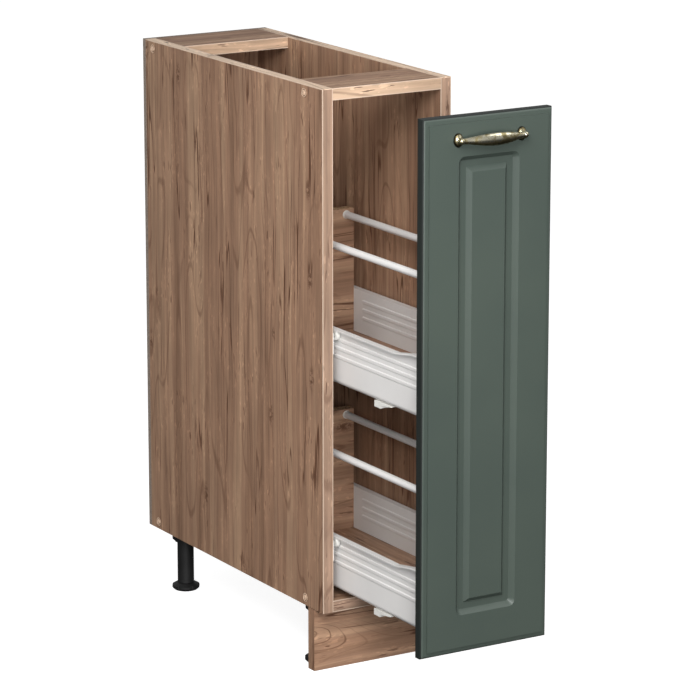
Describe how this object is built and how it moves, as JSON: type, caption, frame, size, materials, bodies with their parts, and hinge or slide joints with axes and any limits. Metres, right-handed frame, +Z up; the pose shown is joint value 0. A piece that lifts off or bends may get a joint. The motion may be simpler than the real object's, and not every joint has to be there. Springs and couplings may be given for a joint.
{
  "type": "pull-out pantry cabinet",
  "caption": "Narrow kitchen base cabinet whose framed front pulls out with stacked railed trays on roller runners; bow handle, levelling legs and clip-on plinth.",
  "frame": {"origin": "on the floor, midway between the sides and midway from the handle's front to the back board, pulled out as stored", "axes": "+X to the right seen from the front, +Y to the wall, +Z up; the front faces -Y and pulls out along -Y"},
  "size_m": [0.2026, 0.7688, 0.809],
  "materials": {
    "oak_board": "oak-look melamine chipboard",
    "oak_edging": "light oak edge band",
    "beige_plastic": "moulded caps",
    "green_front": "satin grey-green film on fibreboard",
    "white_steel": "white powder coat",
    "white_plastic": "moulded nylon",
    "black_plastic": "moulded, fine grain",
    "zinc_steel": "zinc plated",
    "antique_brass": "cast, darkened and rubbed"
  },
  "bodies": {
    "carcase": {"left_side_panel": "oak_board", "right_side_panel": "oak_board", "bottom_panel": "oak_board", "front_stretcher": "oak_board", "rear_stretcher": "oak_board", "back_panel": "oak_board", "plinth": "oak_board", "edge_bands": "oak_edging", "screw_caps": "beige_plastic", "carcase_screws": "zinc_steel", "back_panel_screws": "zinc_steel", "leg_screws": "zinc_steel", "plinth_clip_screws": "zinc_steel", "runner_screws": "zinc_steel", "front_roller_pins": "zinc_steel", "leg_plates": "black_plastic", "plinth_clip_left": "black_plastic", "plinth_clip_right": "black_plastic", "leg_tube_front_left": "black_plastic", "leg_tube_front_right": "black_plastic", "leg_tube_rear_left": "black_plastic", "leg_tube_rear_right": "black_plastic", "runner_upper_left": "white_steel", "runner_upper_right": "white_steel", "runner_lower_left": "white_steel", "runner_lower_right": "white_steel"},
    "pull_out_unit": {"front_panel": "green_front", "handle": "antique_brass", "handle_screws": "zinc_steel", "drawer_bottom_upper": "oak_board", "drawer_bottom_lower": "oak_board", "drawer_back_upper": "oak_board", "drawer_back_lower": "oak_board", "drawer_side_upper_left": "white_steel", "drawer_side_upper_right": "white_steel", "drawer_side_lower_left": "white_steel", "drawer_side_lower_right": "white_steel", "gallery_rail_upper_left": "white_steel", "gallery_rail_upper_right": "white_steel", "gallery_rail_lower_left": "white_steel", "gallery_rail_lower_right": "white_steel", "rail_sockets": "white_plastic", "rail_caps": "white_plastic", "front_brackets": "white_steel", "base_clips": "white_plastic", "drawer_screws": "zinc_steel", "rear_roller_pins": "zinc_steel"},
    "front_roller_upper_left": {"front_roller_upper_left": "white_plastic"},
    "rear_roller_upper_left": {"rear_roller_upper_left": "white_plastic"},
    "front_roller_upper_right": {"front_roller_upper_right": "white_plastic"},
    "rear_roller_upper_right": {"rear_roller_upper_right": "white_plastic"},
    "front_roller_lower_left": {"front_roller_lower_left": "white_plastic"},
    "rear_roller_lower_left": {"rear_roller_lower_left": "white_plastic"},
    "front_roller_lower_right": {"front_roller_lower_right": "white_plastic"},
    "rear_roller_lower_right": {"rear_roller_lower_right": "white_plastic"},
    "levelling_foot_front_left": {"levelling_foot_front_left": "black_plastic"},
    "levelling_foot_front_right": {"levelling_foot_front_right": "black_plastic"},
    "levelling_foot_rear_left": {"levelling_foot_rear_left": "black_plastic"},
    "levelling_foot_rear_right": {"levelling_foot_rear_right": "black_plastic"}
  },
  "joints": [
    {"name": "pull_out", "type": "slide", "parent": "carcase", "child": "pull_out_unit", "axis": [0, -1, 0], "range_m": [-0.228, 0.12]},
    {"name": "front_roller_upper_left_spin", "type": "hinge", "parent": "carcase", "child": "front_roller_upper_left", "pos_m": [-0.0764, -0.11015, 0.4745], "axis": [1, 0, 0], "continuous": true},
    {"name": "rear_roller_upper_left_spin", "type": "hinge", "parent": "pull_out_unit", "child": "rear_roller_upper_left", "pos_m": [-0.0766, 0.09135, 0.4692], "axis": [1, 0, 0], "continuous": true},
    {"name": "front_roller_upper_right_spin", "type": "hinge", "parent": "carcase", "child": "front_roller_upper_right", "pos_m": [0.0764, -0.11015, 0.4745], "axis": [1, 0, 0], "continuous": true},
    {"name": "rear_roller_upper_right_spin", "type": "hinge", "parent": "pull_out_unit", "child": "rear_roller_upper_right", "pos_m": [0.0766, 0.09135, 0.4692], "axis": [1, 0, 0], "continuous": true},
    {"name": "front_roller_lower_left_spin", "type": "hinge", "parent": "carcase", "child": "front_roller_lower_left", "pos_m": [-0.0764, -0.11015, 0.1865], "axis": [1, 0, 0], "continuous": true},
    {"name": "rear_roller_lower_left_spin", "type": "hinge", "parent": "pull_out_unit", "child": "rear_roller_lower_left", "pos_m": [-0.0766, 0.09135, 0.1812], "axis": [1, 0, 0], "continuous": true},
    {"name": "front_roller_lower_right_spin", "type": "hinge", "parent": "carcase", "child": "front_roller_lower_right", "pos_m": [0.0764, -0.11015, 0.1865], "axis": [1, 0, 0], "continuous": true},
    {"name": "rear_roller_lower_right_spin", "type": "hinge", "parent": "pull_out_unit", "child": "rear_roller_lower_right", "pos_m": [0.0766, 0.09135, 0.1812], "axis": [1, 0, 0], "continuous": true},
    {"name": "levelling_foot_front_left_height", "type": "slide", "parent": "carcase", "child": "levelling_foot_front_left", "axis": [0, 0, -1], "range_m": [0, 0.02]},
    {"name": "levelling_foot_front_right_height", "type": "slide", "parent": "carcase", "child": "levelling_foot_front_right", "axis": [0, 0, -1], "range_m": [0, 0.02]},
    {"name": "levelling_foot_rear_left_height", "type": "slide", "parent": "carcase", "child": "levelling_foot_rear_left", "axis": [0, 0, -1], "range_m": [0, 0.02]},
    {"name": "levelling_foot_rear_right_height", "type": "slide", "parent": "carcase", "child": "levelling_foot_rear_right", "axis": [0, 0, -1], "range_m": [0, 0.02]}
  ],
  "couplings": [
    {"joint": "front_roller_upper_left_spin", "follows": "pull_out", "rad_per_m": 142.86},
    {"joint": "rear_roller_upper_left_spin", "follows": "pull_out", "rad_per_m": 156.25},
    {"joint": "front_roller_upper_right_spin", "follows": "pull_out", "rad_per_m": 142.86},
    {"joint": "rear_roller_upper_right_spin", "follows": "pull_out", "rad_per_m": 156.25},
    {"joint": "front_roller_lower_left_spin", "follows": "pull_out", "rad_per_m": 142.86},
    {"joint": "rear_roller_lower_left_spin", "follows": "pull_out", "rad_per_m": 156.25},
    {"joint": "front_roller_lower_right_spin", "follows": "pull_out", "rad_per_m": 142.86},
    {"joint": "rear_roller_lower_right_spin", "follows": "pull_out", "rad_per_m": 156.25}
  ]
}
